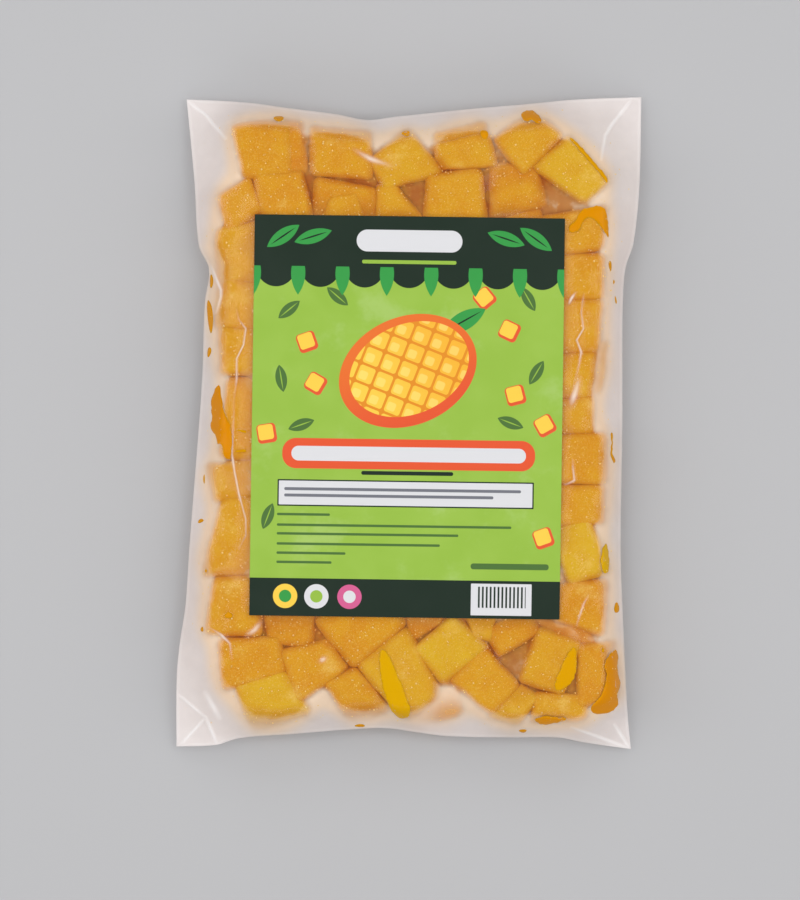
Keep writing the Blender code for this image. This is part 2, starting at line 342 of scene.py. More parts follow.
# White of the film along creases and the seal: partly stress whitening, partly a painted highlight
HAZE_FOLD_WHITE_AND_HIGHLIGHT = screen(255, 252, 252)
HAZE_COLD = screen(236, 229, 227)
LIGHT_GREEN = screen(145, 182, 66)
MOTTLED_GREEN = screen(150, 186, 72)
WASHED_GREEN = screen(172, 200, 118)
DARK_GREEN = screen(22, 40, 28)
LEAF_GREEN = screen(52, 150, 68)
TITLE_RED = screen(222, 84, 46)
PICTURE_ORANGE = screen(226, 110, 44)
PICTURE_YELLOW = screen(240, 200, 72)
PICTURE_GOLD = screen(238, 176, 52)
PICTURE_CUT = screen(222, 138, 34)
PICTURE_LIT = screen(250, 226, 130)
PLAIN_WHITE = screen(214, 214, 217)
TEXT_GREEN = screen(74, 110, 52)
TEXT_GREY = screen(112, 114, 122)
DISC_PINK = screen(206, 92, 140)
PAPER_WHITE = screen(240, 238, 234)
PAPER_SHADE = screen(222, 218, 210)
FLOOR_GREY = screen(178, 178, 180)
FLOOR_PALE = screen(181, 181, 183)

# Specular level of plain surfaces without a coat
PLAIN_SPECULAR = 0.5

# Share of its haze with which the film stops light on its way in, as haze mostly scatters forward
LIGHT_STOPPED = 0.15
# Share of light that the film mirrors where it is seen head-on
GLOSS_HEAD_ON = 0.018


# --- Shape helpers ------------------------------------------------------------------------------

def curve_through(points, places):
    """Heights of a smooth curve through (place, height) pairs, at many places along it."""
    stops, heights = np.array(points, float).T
    slopes = np.empty_like(heights)
    slopes[1:-1] = (heights[2:] - heights[:-2]) / (stops[2:] - stops[:-2])
    slopes[0] = (heights[1] - heights[0]) / (stops[1] - stops[0])
    slopes[-1] = (heights[-1] - heights[-2]) / (stops[-1] - stops[-2])
    i = np.clip(np.searchsorted(stops, places, side="right") - 1, 0, len(stops) - 2)
    span = stops[i + 1] - stops[i]
    t = np.clip((places - stops[i]) / span, 0, 1)
    return (
        (2 * t**3 - 3 * t**2 + 1) * heights[i]
        + (t**3 - 2 * t**2 + t) * slopes[i] * span
        + (3 * t**2 - 2 * t**3) * heights[i + 1]
        + (t**3 - t**2) * slopes[i + 1] * span
    )


def edges_at(u, v):
    """(left, right, foot, head) edges of the outline, level with places in the pouch."""
    across, along = u * POUCH_WIDTH / 2 / MM, v * POUCH_LENGTH / 2 / MM
    return (
        -POUCH_WIDTH / 2 + curve_through(LEFT_INSET, along) * MM,
        POUCH_WIDTH / 2 - curve_through(RIGHT_INSET, along) * MM,
        -POUCH_LENGTH / 2 + curve_through(FOOT_INSET, across) * MM,
        POUCH_LENGTH / 2 - curve_through(HEAD_INSET, across) * MM,
    )


def outline_point(u, v):
    """Where (u, v) lies, when both run from -1 to 1 over the pouch, from edge to edge."""
    left, right, foot, head = edges_at(u, v)
    return left + (right - left) * (u + 1) / 2, foot + (head - foot) * (v + 1) / 2


def place_in_outline(x, y):
    """The (u, v) of points, by repeated substitution, as the edges are nearly straight."""
    u, v = 2 * x / POUCH_WIDTH, 2 * y / POUCH_LENGTH
    for _ in range(OUTLINE_STEPS):
        left, right, foot, head = edges_at(u, v)
        u, v = 2 * (x - left) / (right - left) - 1, 2 * (y - foot) / (head - foot) - 1
    return u, v


def seal_height(u, v):
    """Height of the middle of the seals, with a slight wave along the rim."""
    droop = np.abs(u * v) ** CORNER_DROOP_POWER
    wave = RIM_WAVE * np.sin(RIM_WAVES * math.pi * (u + v)) * (1 - droop)
    return SEAL_HEIGHT + (CORNER_HEIGHT - SEAL_HEIGHT) * droop + wave


def heights_on(tree, xs, ys, missing, from_below=False):
    """Heights at which upright lines through the points first meet a mesh."""
    start, way = (-CLEAR_OF_ALL, UP) if from_below else (CLEAR_OF_ALL, DOWN)
    found = np.full(np.shape(xs), missing)
    for index, (x, y) in enumerate(zip(np.ravel(xs), np.ravel(ys))):
        hit = tree.ray_cast((x, y, start), way)[0]
        if hit is not None:
            found.flat[index] = hit.z
    return found


def read_raster(raster, u, v):
    """Values between a raster's points, for (u, v) from -1 to 1."""
    rows, columns = raster.shape
    column = np.clip((u + 1) / 2 * (columns - 1), 0, columns - 1.001)
    row = np.clip((v + 1) / 2 * (rows - 1), 0, rows - 1.001)
    c, r = column.astype(int), row.astype(int)
    s, t = column - c, row - r
    return (
        raster[r, c] * (1 - s) * (1 - t)
        + raster[r, c + 1] * s * (1 - t)
        + raster[r + 1, c] * (1 - s) * t
        + raster[r + 1, c + 1] * s * t
    )


def ripple(points, wavelength, seed):
    """Smooth unevenness of about -1 to 1 at points in space, from waves that cross at random."""
    chance = np.random.default_rng(seed)
    total = np.zeros(len(points))
    for _ in range(RIPPLE_WAVES):
        way = chance.normal(size=3)
        way *= 2 * math.pi / (wavelength * chance.uniform(0.7, 1.5) * np.linalg.norm(way))
        total += np.sin(points @ way + chance.uniform(0, 2 * math.pi))
    return total / math.sqrt(RIPPLE_WAVES)


def points_of(mesh):
    """A mesh's vertices as an array."""
    flat = np.empty(len(mesh.vertices) * 3)
    mesh.vertices.foreach_get("co", flat)
    return flat.reshape(-1, 3)


def set_points(mesh, points):
    """Moves a mesh's vertices to new places."""
    mesh.vertices.foreach_set("co", np.ravel(points))
    mesh.update()


def normals_of(mesh):
    """The directions that a mesh's vertices face."""
    flat = np.empty(len(mesh.vertices) * 3, np.float32)
    mesh.vertex_normals.foreach_get("vector", flat)
    return flat.reshape(-1, 3).astype(float)


def set_values(mesh, name, values, kind="FLOAT"):
    """Gives each vertex a value, or a vector, that the material reads by name."""
    attribute = mesh.attributes.new(name, kind, "POINT")
    attribute.data.foreach_set("value" if kind == "FLOAT" else "vector", np.ravel(values))


def finished_piece(name, mesh, materials, replaces=()):
    """Puts a mesh in the scene as a smooth piece that rides on the pouch."""
    mesh.name = name
    mesh.materials.clear()
    for material in materials:
        mesh.materials.append(material)
    mesh.shade_smooth()
    piece = bpy.data.objects.new(name, mesh)
    bpy.context.scene.collection.objects.link(piece)
    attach(piece, "root")
    if replaces:
        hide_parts(*replaces)
    return piece


def mesh_from(bm, name):
    """A new mesh from a bmesh, with its faces turned outwards."""
    bmesh.ops.recalc_face_normals(bm, faces=bm.faces[:])
    mesh = bpy.data.meshes.new(name)
    bm.to_mesh(mesh)
    bm.free()
    return mesh


def join_meshes(name, parts):
    """One mesh of many. Each part is a mesh and the values its vertices carry, by name."""
    joined = bmesh.new()
    for mesh, _ in parts:
        joined.from_mesh(mesh)
        bpy.data.meshes.remove(mesh)
    mesh = mesh_from(joined, name)
    for value_name in parts[0][1]:
        values = np.concatenate([carried[value_name] for _, carried in parts])
        set_values(mesh, value_name, values, "FLOAT" if values.ndim == 1 else "FLOAT_VECTOR")
    return mesh


def tree_of(obj):
    """An object's finished surface, for casting rays at."""
    return BVHTree.FromObject(obj, bpy.context.evaluated_depsgraph_get())


# --- Material helpers ---------------------------------------------------------------------------

def new_material(name):
    """An empty node material and its tree."""
    material = bpy.data.materials.new(name)
    material.use_nodes = True
    material.node_tree.nodes.clear()
    return material, material.node_tree


def add_node(tree, kind, inputs=None, **settings):
    """A node with its settings, and its inputs by name or number, linked or set."""
    node = tree.nodes.new(kind)
    for name, value in settings.items():
        setattr(node, name, value)
    for name, value in (inputs or {}).items():
        if isinstance(value, bpy.types.NodeSocket):
            tree.links.new(value, node.inputs[name])
        else:
            node.inputs[name].default_value = value
    return node


def reckon(tree, operation, *values, clamp=False):
    """One step of arithmetic on numbers."""
    node = add_node(tree, "ShaderNodeMath", dict(enumerate(values)), operation=operation, use_clamp=clamp)
    return node.outputs[0]


def reckon_vector(tree, operation, *values):
    """One step of arithmetic on vectors."""
    node = add_node(tree, "ShaderNodeVectorMath", dict(enumerate(values)), operation=operation)
    return node.outputs["Value" if operation in ("LENGTH", "DOT_PRODUCT") else "Vector"]


def ramp(tree, value, low, high, low_result=0.0, high_result=1.0, smooth=True):
    """Carries a value from one range to another, and holds it at the ends."""
    node = add_node(
        tree,
        "ShaderNodeMapRange",
        {"Value": value, "From Min": low, "From Max": high, "To Min": low_result, "To Max": high_result},
        interpolation_type="SMOOTHSTEP" if smooth else "LINEAR",
    )
    return node.outputs["Result"]


def blend(tree, share, first, second):
    """A colour between two, by a share."""
    node = add_node(tree, "ShaderNodeMix", {0: share, 6: first, 7: second}, data_type="RGBA")
    return node.outputs[2]


def noise_at(tree, place, scale, detail=2.0, roughness=0.5):
    """Cloudy noise from 0 to 1."""
    inputs = {"Vector": place, "Scale": scale, "Detail": detail, "Roughness": roughness}
    return add_node(tree, "ShaderNodeTexNoise", inputs).outputs["Fac"]


def value_of(tree, name, output="Fac"):
    """A value that the piece's vertices carry."""
    return add_node(tree, "ShaderNodeAttribute", attribute_name=name).outputs[output]


def object_place(tree):
    """Coordinates in the piece's own space, in metres."""
    return add_node(tree, "ShaderNodeTexCoord").outputs["Object"]


def bump(tree, height, strength, distance):
    """Surface relief from a height."""
    node = add_node(tree, "ShaderNodeBump", {"Height": height, "Strength": strength, "Distance": distance})
    return node.outputs["Normal"]


def finish_with(tree, shader):
    """Ends a material in a shader."""
    add_node(tree, "ShaderNodeOutputMaterial", {"Surface": shader.outputs[0]})


def finish_principled(tree, colour, roughness, specular, normal=None, more=None):
    """Ends a material in a Principled shader."""
    inputs = {"Base Color": colour, "Roughness": roughness, "Specular IOR Level": specular}
    if normal is not None:
        inputs["Normal"] = normal
    finish_with(tree, add_node(tree, "ShaderNodeBsdfPrincipled", inputs | (more or {})))


# --- Materials ----------------------------------------------------------------------------------

def mango_flesh():
    """Frozen mango flesh: orange to yellow, fibrous, with paler frost, specks and a moist surface, and with
    edges painted yellower, as painted light that they would catch.
    """
    material, tree = new_material("mango_flesh")
    place = object_place(tree)
    grain = value_of(tree, "grain", "Vector")
    ripeness = value_of(tree, "ripeness")
    rim = value_of(tree, "rim")

    blotches = noise_at(tree, place, 95, 3, 0.55)
    stretched = reckon_vector(tree, "MULTIPLY", grain, (1, 1, 0.16))
    fibres = noise_at(tree, stretched, 900, 4, 0.6)
    fine = noise_at(tree, place, 1500, 3, 0.6)

    flesh = blend(tree, ripeness, FLESH_ORANGE, FLESH_YELLOW)
    deep = blend(tree, ripeness, FLESH_DEEP, FLESH_RIPE)
    flesh = blend(tree, ramp(tree, blotches, 0.62, 0.32, 0, 0.75), flesh, deep)
    flesh = blend(tree, ramp(tree, fibres, 0.5, 0.75, 0, 0.3), flesh, FLESH_YELLOW)
    # Painted light: the flesh turns yellower towards each chunk's edges, as if they caught more light
    flesh = blend(tree, ramp(tree, rim, 0.6, 1.0, 0, 0.12), flesh, FLESH_YELLOW)
    flesh = blend(tree, ramp(tree, fine, 0.46, 0.72, 0, 0.34), flesh, FLESH_FROST)

    clouds = noise_at(tree, place, 62, 4, 0.6)
    frost = reckon(tree, "MULTIPLY", ramp(tree, clouds, 0.56, 0.74), ramp(tree, fine, 0.3, 0.65, 0.2, 0.6))
    flesh = blend(tree, frost, flesh, FLESH_FROST)
    for scale, size, few, many in ((520.0, 0.2, 0.52, 0.6), (1150.0, 0.24, 0.48, 0.66)):
        cells = add_node(tree, "ShaderNodeTexVoronoi", {"Vector": place, "Scale": scale, "Randomness": 1.0})
        dots = ramp(tree, cells.outputs["Distance"], size, size / 2)
        chosen = ramp(tree, noise_at(tree, place, scale * 0.44, 2), few, many)
        flesh = blend(tree, reckon(tree, "MULTIPLY", dots, chosen), flesh, FLESH_FROST)

    relief = reckon(tree, "ADD", fibres, reckon(tree, "MULTIPLY", fine, 0.6))
    roughness = ramp(tree, clouds, 0.35, 0.7, 0.34, 0.52)
    finish_principled(tree, flesh, roughness, 0.09, bump(tree, relief, 0.35, 0.00035))
    return material


def juice():
    """Mango juice: saturated, glossy, paler at its thin rim."""
    material, tree = new_material("mango_juice")
    ripeness = value_of(tree, "ripeness")
    depth = value_of(tree, "depth")
    streaks = noise_at(tree, object_place(tree), 260, 3)
    colour = blend(tree, ripeness, JUICE_ORANGE, JUICE_YELLOW)
    colour = blend(tree, ramp(tree, depth, 0.5, 0.0, 0, 0.45), colour, JUICE_YELLOW)
    colour = blend(tree, ramp(tree, streaks, 0.55, 0.8, 0, 0.25), colour, FLESH_DEEP)
    roughness = ramp(tree, streaks, 0.3, 0.7, 0.12, 0.28)
    finish_principled(tree, colour, roughness, 0.06, bump(tree, streaks, 0.2, 0.0003))
    return material


def frost():
    """Beads of frost and trapped air: pale, warm from the fruit round them."""
    material, tree = new_material("frost_beads")
    warmth = noise_at(tree, object_place(tree), 140, 2)
    colour = blend(tree, warmth, BEAD_WARM, BEAD_PALE)
    roughness = ramp(tree, warmth, 0.3, 0.7, 0.25, 0.4)
    glow = {"Subsurface Weight": 0.4, "Subsurface Radius": (1.0, 0.8, 0.5), "Subsurface Scale": 0.0006}
    finish_principled(tree, colour, roughness, 0.25, more=glow)
    return material


def milky_film():
    """Clear film that looks milkier the further it stands off the fruit, and has a soft gloss. Its haze is
    tinted with painted shade over narrow gaps and painted light from the fruit, and whitened along creases
    and the seal, partly as a painted highlight.
    """
    material, tree = new_material("milky_film")
    place = object_place(tree)
    lift = value_of(tree, "lift")
    openness = value_of(tree, "openness")
    seal = value_of(tree, "seal")
    crease = value_of(tree, "crease")
    clouds = noise_at(tree, place, 48, 3)
    grain = noise_at(tree, place, 700, 2)
    waves = noise_at(tree, place, 130, 2)

    haze = reckon(tree, "MULTIPLY_ADD", lift, ramp(tree, openness, 0.2, 0.5, 0.68, 0.93), 0.02)
    uneven = ramp(tree, clouds, 0.3, 0.7, -0.05, 0.05)
    haze = reckon(tree, "MULTIPLY_ADD", uneven, ramp(tree, lift, 0, 0.5), haze)
    haze = reckon(tree, "MULTIPLY_ADD", seal, 0.1, haze)
    # Creases add haze, which whitens the film there: partly stress whitening, partly a painted highlight
    haze = reckon(tree, "MULTIPLY_ADD", crease, 0.5, haze, clamp=True)
    in_light = add_node(tree, "ShaderNodeLightPath").outputs["Is Shadow Ray"]
    haze = reckon(tree, "MULTIPLY", haze, ramp(tree, in_light, 0, 1, 1, LIGHT_STOPPED, smooth=False))

    # Painted shade and light: the haze is tinted dark orange over narrow gaps between chunks, as painted
    # shade, and warm peach where it opens out, as painted light from the fruit under it. Only open film
    # keeps its own cool white.
    patches = noise_at(tree, place, 150, 3)
    haze_tint_with_painted_light = blend(tree, ramp(tree, patches, 0.4, 0.65), HAZE_GAP_SHADE_DEEP, HAZE_GAP_SHADE_WARM)
    haze_tint_with_painted_light = blend(tree, ramp(tree, openness, 0.12, 0.38), haze_tint_with_painted_light, HAZE_FRUIT_LIGHT_NEAR)
    near_open = reckon(tree, "ADD", openness, ramp(tree, patches, 0.3, 0.7, -0.04, 0.08))
    haze_tint_with_painted_light = blend(tree, ramp(tree, near_open, 0.27, 0.45), haze_tint_with_painted_light, HAZE_FRUIT_LIGHT_WIDE)
    haze_tint_with_painted_light = blend(tree, ramp(tree, openness, 0.66, 0.94), haze_tint_with_painted_light, HAZE_COLD)
    # Painted highlight, partly stress whitening: the tint turns white along creases and, less, at the seal
    fold_whitening_and_highlight = reckon(tree, "MAXIMUM", crease, reckon(tree, "MULTIPLY", seal, 0.4))
    haze_tint_with_painted_light = blend(tree, fold_whitening_and_highlight, haze_tint_with_painted_light, HAZE_FOLD_WHITE_AND_HIGHLIGHT)

    normal = bump(tree, reckon(tree, "MULTIPLY_ADD", grain, 0.08, waves), 0.22, 0.0006)
    milk = add_node(tree, "ShaderNodeBsdfDiffuse", {"Color": haze_tint_with_painted_light, "Normal": normal})
    glow = add_node(tree, "ShaderNodeBsdfTranslucent", {"Color": haze_tint_with_painted_light})
    scatter = add_node(tree, "ShaderNodeMixShader", {0: 0.25, 1: milk.outputs[0], 2: glow.outputs[0]})
    clear = add_node(tree, "ShaderNodeBsdfTransparent")
    body = add_node(tree, "ShaderNodeMixShader", {0: haze, 1: clear.outputs[0], 2: scatter.outputs[0]})
    gloss = add_node(tree, "ShaderNodeBsdfGlossy", {"Roughness": 0.12, "Normal": normal})
    turned = add_node(tree, "ShaderNodeLayerWeight", {"Blend": 0.5, "Normal": normal}).outputs["Facing"]
    slanting = reckon(tree, "POWER", turned, 5)
    mirrored = reckon(tree, "MULTIPLY_ADD", slanting, 1 - GLOSS_HEAD_ON, GLOSS_HEAD_ON)
    shader = add_node(tree, "ShaderNodeMixShader", {0: mirrored, 1: body.outputs[0], 2: gloss.outputs[0]})
    finish_with(tree, shader)
    return material


# Print on the label, in mm from its middle

def local_place(tree, place, centre, turn=0.0, size=(1, 1)):
    """Coordinates from a shape's own middle, turned with it and measured in its own sizes."""
    inputs = {
        "Vector": place,
        "Location": (*centre, 0),
        "Rotation": (0, 0, math.radians(turn)),
        "Scale": (*size, 1),
    }
    return add_node(tree, "ShaderNodeMapping", inputs, vector_type="TEXTURE").outputs["Vector"]


def repeated(tree, place, across, along):
    """Coordinates that start again at every pitch across and along."""
    inputs = {0: place, 1: (across / 2, along / 2, 1), 2: (-across / 2, -along / 2, -1)}
    return add_node(tree, "ShaderNodeVectorMath", inputs, operation="WRAP").outputs["Vector"]


def box_shape(tree, place, centre, width, height, rounding, turn=0.0):
    """1 inside a rounded box, 0 outside."""
    inner = (width / 2 - rounding, height / 2 - rounding, 0)
    local = reckon_vector(tree, "ABSOLUTE", local_place(tree, place, centre, turn))
    offset = reckon_vector(tree, "SUBTRACT", local, inner)
    distance = reckon_vector(tree, "LENGTH", reckon_vector(tree, "MAXIMUM", offset, (0, 0, 0)))
    return ramp(tree, distance, rounding + PRINT_SOFTNESS / 2, rounding - PRINT_SOFTNESS / 2)


def oval_shape(tree, place, centre, width, height, turn=0.0):
    """1 inside an oval, 0 outside."""
    local = local_place(tree, place, centre, turn, (width / 2, height / 2))
    softness = PRINT_SOFTNESS / min(width, height)
    return ramp(tree, reckon_vector(tree, "LENGTH", local), 1 + softness, 1 - softness)


def leaf_shape(tree, place, centre, length, breadth, turn=0.0):
    """1 inside a leaf with two pointed ends, 0 outside: where two circles overlap."""
    radius = (length**2 + breadth**2) / (4 * breadth)
    local = reckon_vector(tree, "ABSOLUTE", local_place(tree, place, centre, turn))
    shifted = reckon_vector(tree, "ADD", local, (0, radius - breadth / 2, 0))
    distance = reckon_vector(tree, "LENGTH", shifted)
    return ramp(tree, distance, radius + PRINT_SOFTNESS / 2, radius - PRINT_SOFTNESS / 2)


def print_shapes(tree, place, ink, *shapes):
    """Prints shapes one over the other. Each is a kind of shape, its measures and its colour."""
    for shape, *measures, colour in shapes:
        ink = blend(tree, shape(tree, place, *measures), ink, colour)
    return ink


def veined_leaf(centre, turn, size, vein, colours):
    """A leaf and the vein in it, as shapes to print."""
    (length, breadth), (vein_length, vein_breadth), (green, vein_green) = size, vein, colours
    return (
        (leaf_shape, centre, length, breadth, turn, green),
        (leaf_shape, centre, vein_length, vein_breadth, turn, vein_green),
    )


def label_place(tree):
    """Coordinates in mm from the middle of the label, along its own sides."""
    middle = Matrix.Rotation(-LABEL_TURN, 3, "Z") @ LABEL_CENTRE / MM
    node = add_node(
        tree,
        "ShaderNodeMapping",
        {
            "Vector": object_place(tree),
            "Location": -middle,
            "Rotation": (0, 0, -LABEL_TURN),
            "Scale": (1 / MM, 1 / MM, 0),
        },
    )
    return node.outputs["Vector"]


def print_header(tree, place, ink):
    """A dark band with a scalloped edge, hanging leaves and a bare plate."""
    pitch = 19.3
    scallops = repeated(tree, place, pitch, ENDLESS)
    hanging = ((leaf_shape, (side * pitch / 2, 62), 19, 6.2, 90, LEAF_GREEN) for side in (-1, 1))
    ink = print_shapes(tree, scallops, ink, (oval_shape, (0, 66), 18.2, 20, DARK_GREEN), *hanging)
    ink = print_shapes(tree, place, ink, (box_shape, (0, 78), 150, 26, 0.5, DARK_GREEN))
    for x, turn in ((-55, 35), (-42, 18), (42, -18), (55, -35)):
        leaf = veined_leaf((x, 78), turn, (17, 6), (13, 0.7), (LEAF_GREEN, DARK_GREEN))
        ink = print_shapes(tree, place, ink, *leaf)
    return print_shapes(
        tree, place, ink,
        (box_shape, (0, 76.5), 46, 9.5, 4.7, PLAIN_WHITE),
        (box_shape, (0, 67.3), 41, 1.6, 0.7, LIGHT_GREEN),
    )


def print_picture(tree, place, ink):
    """A mango half cut into dice, with one leaf."""
    centre, turn = (0, 20), 24
    leaf = veined_leaf((24, 42), 30, (22, 8), (18, 0.7), (LEAF_GREEN, DARK_GREEN))
    ink = print_shapes(tree, place, ink, *leaf)
    skin = oval_shape(tree, place, centre, 62, 47, turn)
    local = local_place(tree, place, centre, turn)
    along = add_node(tree, "ShaderNodeSeparateXYZ", {0: local}).outputs
    blush = blend(tree, ramp(tree, along["Y"], -22, 16), TITLE_RED, PICTURE_ORANGE)
    ink = blend(tree, skin, ink, blush)
    flesh = oval_shape(tree, place, (0.6, 20.8), 54, 39, turn)
    mellow = blend(tree, ramp(tree, along["X"], -26, 26), PICTURE_YELLOW, PICTURE_GOLD)
    pitch = 8.2
    dice = repeated(tree, local_place(tree, place, centre, turn + 45), pitch, pitch)
    cube = box_shape(tree, dice, (0, 0), pitch - 1.1, pitch - 1.1, 1.1)
    lit = box_shape(tree, dice, (-0.7, 0.9), pitch - 4.4, pitch - 4.4, 1.0)
    cubes = blend(tree, cube, PICTURE_CUT, mellow)
    cubes = blend(tree, reckon(tree, "MULTIPLY", lit, 0.45), cubes, PICTURE_LIT)
    return blend(tree, flesh, ink, cubes)


def print_small_motifs(tree, place, ink):
    """Single leaves and single dice, scattered in columns beside the picture."""
    for x, y, turn in ((-52, 46, 40), (-31, 52, 140), (52, 52, 120), (-55, 16, 100), (56, 20, 60),
                       (-46, -4, 20), (45, -2, 160), (-60, -44, 70)):
        leaf = veined_leaf((x, y), turn, (12, 5), (10, 0.5), (TEXT_GREEN, LIGHT_GREEN))
        ink = print_shapes(tree, place, ink, *leaf)
    for x, y, turn in ((-44, 32, 20), (44, 38, -25), (-40, 14, 60), (47, 10, 15), (33, 52, 40),
                       (60, -3, 30), (-61, -8, 10), (60, -52, 20)):
        ink = print_shapes(
            tree, place, ink,
            (box_shape, (x, y), 8.4, 8.4, 1.8, turn, TITLE_RED),
            (box_shape, (x - 0.4, y + 0.5), 6.6, 6.6, 1.2, turn, PICTURE_YELLOW),
        )
    return ink


def print_panels(tree, place, ink):
    """A title plate, a boxed panel and rows of thin bars, all without words."""
    bars = (
        ((0.9, -16.4), 110, 13.2, 6.0, TITLE_RED),
        ((0.9, -16.4), 102, 6.4, 3.1, PLAIN_WHITE),
        ((0.4, -24.6), 40, 1.7, 0.8, DARK_GREEN),
        ((-0.2, -33.6), 111.5, 11.6, 0.3, DARK_GREEN),
        ((-0.2, -33.6), 110.3, 10.4, 0.3, PLAIN_WHITE),
        ((-1.5, -31.9), 103, 1.3, 0.6, TEXT_GREY),
        ((-7.5, -34.7), 91, 1.3, 0.6, TEXT_GREY),
        ((-44.5, -43.0), 23, 1.1, 0.5, TEXT_GREEN),
        ((-5.0, -47.6), 102, 1.1, 0.5, TEXT_GREEN),
        ((-16.5, -51.4), 79, 1.1, 0.5, TEXT_GREEN),
        ((-20.5, -55.8), 71, 1.1, 0.5, TEXT_GREEN),
        ((-41.0, -59.8), 30, 1.1, 0.5, TEXT_GREEN),
        ((-44.0, -63.8), 24, 1.1, 0.5, TEXT_GREEN),
        ((45.5, -64.6), 34, 2.6, 1.2, TEXT_GREEN),
    )
    return print_shapes(tree, place, ink, *((box_shape, *bar) for bar in bars))


def print_footer(tree, place, ink):
    """A dark foot with three plain discs and a striped panel."""
    ink = print_shapes(tree, place, ink, (box_shape, (0, -80.5), 150, 19.4, 0.5, DARK_GREEN))
    for x, rim, middle in ((-52, PICTURE_YELLOW, LEAF_GREEN), (-38.4, PLAIN_WHITE, LIGHT_GREEN),
                           (-24.0, DISC_PINK, PLAIN_WHITE)):
        disc = ((oval_shape, (x, -78.6), *size) for size in ((10.6, 10.6, rim), (5.4, 5.4, middle)))
        ink = print_shapes(tree, place, ink, *disc)
    ink = print_shapes(tree, place, ink, (box_shape, (42, -79), 26.4, 13.8, 0.3, PLAIN_WHITE))
    stripes = repeated(tree, place, 1.7, ENDLESS)
    bar = box_shape(tree, stripes, (0, -78), 0.8, 9.2, 0.1)
    panel = box_shape(tree, place, (42, -78), 21.3, 9.2, 0.1)
    return blend(tree, reckon(tree, "MULTIPLY", bar, panel), ink, DARK_GREEN)


def label_print():
    """Printed, laminated paper."""
    material, tree = new_material("label_print")
    place = label_place(tree)
    surface = object_place(tree)
    mottle = noise_at(tree, surface, 60, 2)
    ink = blend(tree, ramp(tree, mottle, 0.3, 0.7), LIGHT_GREEN, MOTTLED_GREEN)
    washed = noise_at(tree, surface, 34, 5, 0.62)
    ink = blend(tree, ramp(tree, washed, 0.54, 0.72, 0, 0.5), ink, WASHED_GREEN)
    for layer in (print_small_motifs, print_header, print_picture, print_panels, print_footer):
        ink = layer(tree, place, ink)
    fine = noise_at(tree, surface, 2400, 2)
    dimples = noise_at(tree, surface, 85, 2)
    height = reckon(tree, "MULTIPLY_ADD", fine, 0.05, dimples)
    roughness = ramp(tree, mottle, 0.3, 0.7, 0.3, 0.38)
    finish_principled(tree, ink, roughness, 0.25, bump(tree, height, 0.25, 0.0006))
    return material


def bare_paper():
    """The cut edge and the back of the label."""
    material, tree = new_material("label_paper")
    fibre = noise_at(tree, object_place(tree), 1800, 3)
    colour = blend(tree, fibre, PAPER_WHITE, PAPER_SHADE)
    finish_principled(tree, colour, 0.5, PLAIN_SPECULAR)
    return material


def floor_paint():
    """Plain pale grey, a little uneven."""
    material, tree = new_material("studio_floor")
    tone = noise_at(tree, object_place(tree), 6, 2)
    colour = blend(tree, tone, FLOOR_GREY, FLOOR_PALE)
    finish_principled(tree, colour, ramp(tree, tone, 0.3, 0.7, 0.6, 0.7), PLAIN_SPECULAR)
    return material


# --- Label --------------------------------------------------------------------------------------

def make_label():
    """A thin sheet on the surface of the label's solid, smoothed, with its cut edges bare."""
    tree = tree_of(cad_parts["label"])
    bm = bmesh.new()
    bmesh.ops.create_grid(bm, x_segments=LABEL_COLUMNS, y_segments=LABEL_ROWS, size=0.5)
    turn = Matrix.Rotation(LABEL_TURN, 3, "Z")
    for vert in bm.verts:
        flat = Vector((vert.co.x * LABEL_WIDTH, vert.co.y * LABEL_LENGTH, 0))
        read_at = LABEL_CENTRE + turn @ (flat * LABEL_READ_INSET)
        hit = tree.ray_cast((read_at.x, read_at.y, CLEAR_OF_ALL), DOWN)[0]
        vert.co = LABEL_CENTRE + turn @ flat
        vert.co.z = hit.z
    for _ in range(LABEL_SMOOTHING):
        bmesh.ops.smooth_vert(bm, verts=bm.verts[:], factor=0.5, use_axis_z=True)
    lower = bm.verts[:]
    extruded = bmesh.ops.extrude_face_region(bm, geom=bm.faces[:])["geom"]
    upper_faces = {item for item in extruded if isinstance(item, bmesh.types.BMFace)}
    for vert in lower:
        vert.co.z -= LABEL_THICKNESS
    for face in bm.faces:
        face.material_index = 0 if face in upper_faces else 1
    for edge in bm.edges:
        edge.smooth = len({face.material_index for face in edge.link_faces}) == 1
    mesh = mesh_from(bm, "label_sheet")
    return finished_piece("label_sheet", mesh, (label_print(), bare_paper()), ("label",))


# --- Chunks -------------------------------------------------------------------------------------

def chunk_blank(cuts):
    """A cube cut into a grid, as a mesh and its points in units of half its side."""
    bm = bmesh.new()
    bmesh.ops.create_cube(bm, size=2)
    bmesh.ops.subdivide_edges(bm, edges=bm.edges[:], cuts=cuts, use_grid_fill=True)
    mesh = mesh_from(bm, "chunk_blank")
    points = points_of(mesh)
    drawn = np.sin(points * math.pi / 2)
    crowded = (1 - CHUNK_EDGE_CROWDING) * points + CHUNK_EDGE_CROWDING * drawn
    return mesh, crowded


def knife_cuts(points, chance):
    """Takes a little off two corners and one edge, then rounds all edges."""
    for meeting, nearest in KNIFE_CUTS:
        way = np.array([chance.choice((-1, 1)) for _ in range(3)], float)
        if meeting == 2:
            way[chance.randrange(2)] = 0
        way += np.array([chance.uniform(-KNIFE_TILT, KNIFE_TILT) for _ in range(3)])
        way /= np.linalg.norm(way)
        past = np.maximum(points @ way - chance.uniform(nearest, nearest + KNIFE_SPREAD), 0)
        points = points - past[:, None] * way
    inner = np.clip(points, CHUNK_ROUNDING - 1, 1 - CHUNK_ROUNDING)
    outward = points - inner
    reach = np.linalg.norm(outward, axis=1, keepdims=True)
    rounded = np.minimum(CHUNK_ROUNDING / np.maximum(reach, 1e-9), 1)
    return inner + outward * rounded


